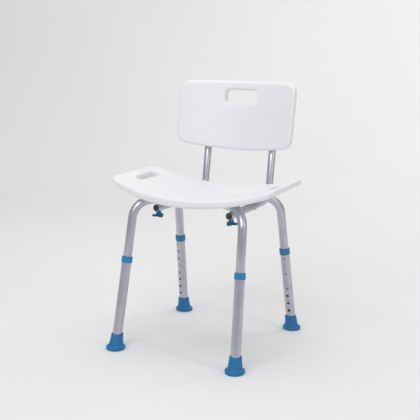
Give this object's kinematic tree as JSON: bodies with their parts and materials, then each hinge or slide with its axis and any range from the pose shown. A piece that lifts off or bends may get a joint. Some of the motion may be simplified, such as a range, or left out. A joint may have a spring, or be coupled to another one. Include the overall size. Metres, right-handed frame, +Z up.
{
  "type": "shower stool",
  "caption": "Height-adjustable bath chair with a curved plastic seat with hand-holds, a curved backrest on two posts and telescopic aluminium legs with flared rubber tips.",
  "frame": {"origin": "on the floor under the middle of the overall box", "axes": "+Z up, -Y towards the front of the chair, +X towards the sitter's left"},
  "size_m": [0.517, 0.4906, 0.7715],
  "materials": {
    "shell": "satin moulded white plastic with a fine grain",
    "aluminium": "satin anodised tube",
    "collar": "semi-matt blue",
    "tip": "matt blue rubber",
    "knob": "semi-matt blue",
    "plug": "matt dark grey",
    "steel": "zinc plated",
    "brass": "plain"
  },
  "bodies": {
    "chair_body": {"seat_panel": "shell", "backrest_panel": "shell", "leg_frame_a": "aluminium", "leg_frame_b": "aluminium", "frame_rivet": "steel", "backrest_tube_left": "aluminium", "backrest_tube_right": "aluminium", "tube_plug_left": "plug", "tube_plug_right": "plug", "backrest_screw_left": "steel", "backrest_screw_right": "steel", "rear_bolt_left": "steel", "rear_bolt_right": "steel", "seat_insert_front_left": "brass", "seat_insert_front_right": "brass", "seat_insert_rear_left": "brass", "seat_insert_rear_right": "brass"},
    "leg_fl": {"leg_extension_fl": "aluminium", "leg_collar_fl": "collar", "foot_tip_fl": "tip", "foot_washer_fl": "steel"},
    "button_fl": {"snap_button_fl": "steel"},
    "leg_fr": {"leg_extension_fr": "aluminium", "leg_collar_fr": "collar", "foot_tip_fr": "tip", "foot_washer_fr": "steel"},
    "button_fr": {"snap_button_fr": "steel"},
    "leg_rl": {"leg_extension_rl": "aluminium", "leg_collar_rl": "collar", "foot_tip_rl": "tip", "foot_washer_rl": "steel"},
    "button_rl": {"snap_button_rl": "steel"},
    "leg_rr": {"leg_extension_rr": "aluminium", "leg_collar_rr": "collar", "foot_tip_rr": "tip", "foot_washer_rr": "steel"},
    "button_rr": {"snap_button_rr": "steel"},
    "knob_left": {"clamp_knob_left": "knob", "knob_stud_left": "steel"},
    "knob_right": {"clamp_knob_right": "knob", "knob_stud_right": "steel"}
  },
  "joints": [
    {"name": "leg_height_fl", "type": "slide", "parent": "chair_body", "child": "leg_fl", "axis": [0.0452, 0.1836, 0.982], "range_m": [-0.0762, 0.1016], "deforming": ["snap_button_fl"]},
    {"name": "button_press_fl", "type": "slide", "parent": "chair_body", "child": "button_fl", "axis": [0.1669, -0.9705, 0.1738], "range_m": [0, 0.0035], "stiffness_N_per_m": 1500, "springref_m": -0.003, "deforming": ["snap_button_fl"]},
    {"name": "leg_height_fr", "type": "slide", "parent": "chair_body", "child": "leg_fr", "axis": [-0.0452, 0.1836, 0.982], "range_m": [-0.0762, 0.1016], "deforming": ["snap_button_fr"]},
    {"name": "button_press_fr", "type": "slide", "parent": "chair_body", "child": "button_fr", "axis": [-0.1669, -0.9705, 0.1738], "range_m": [0, 0.0035], "stiffness_N_per_m": 1500, "springref_m": -0.003, "deforming": ["snap_button_fr"]},
    {"name": "leg_height_rl", "type": "slide", "parent": "chair_body", "child": "leg_rl", "axis": [0.0452, -0.1836, 0.982], "range_m": [-0.0762, 0.1016], "deforming": ["snap_button_rl"]},
    {"name": "button_press_rl", "type": "slide", "parent": "chair_body", "child": "button_rl", "axis": [0.1669, 0.9705, 0.1738], "range_m": [0, 0.0035], "stiffness_N_per_m": 1500, "springref_m": -0.003, "deforming": ["snap_button_rl"]},
    {"name": "leg_height_rr", "type": "slide", "parent": "chair_body", "child": "leg_rr", "axis": [-0.0452, -0.1836, 0.982], "range_m": [-0.0762, 0.1016], "deforming": ["snap_button_rr"]},
    {"name": "button_press_rr", "type": "slide", "parent": "chair_body", "child": "button_rr", "axis": [-0.1669, 0.9705, 0.1738], "range_m": [0, 0.0035], "stiffness_N_per_m": 1500, "springref_m": -0.003, "deforming": ["snap_button_rr"]},
    {"name": "knob_turn_left", "type": "hinge", "parent": "chair_body", "child": "knob_left", "pos_m": [-0.1185, -0.09475, 0.39], "axis": [0, 0, 1], "continuous": true},
    {"name": "knob_turn_right", "type": "hinge", "parent": "chair_body", "child": "knob_right", "pos_m": [0.1185, -0.09475, 0.39], "axis": [0, 0, 1], "continuous": true}
  ]
}
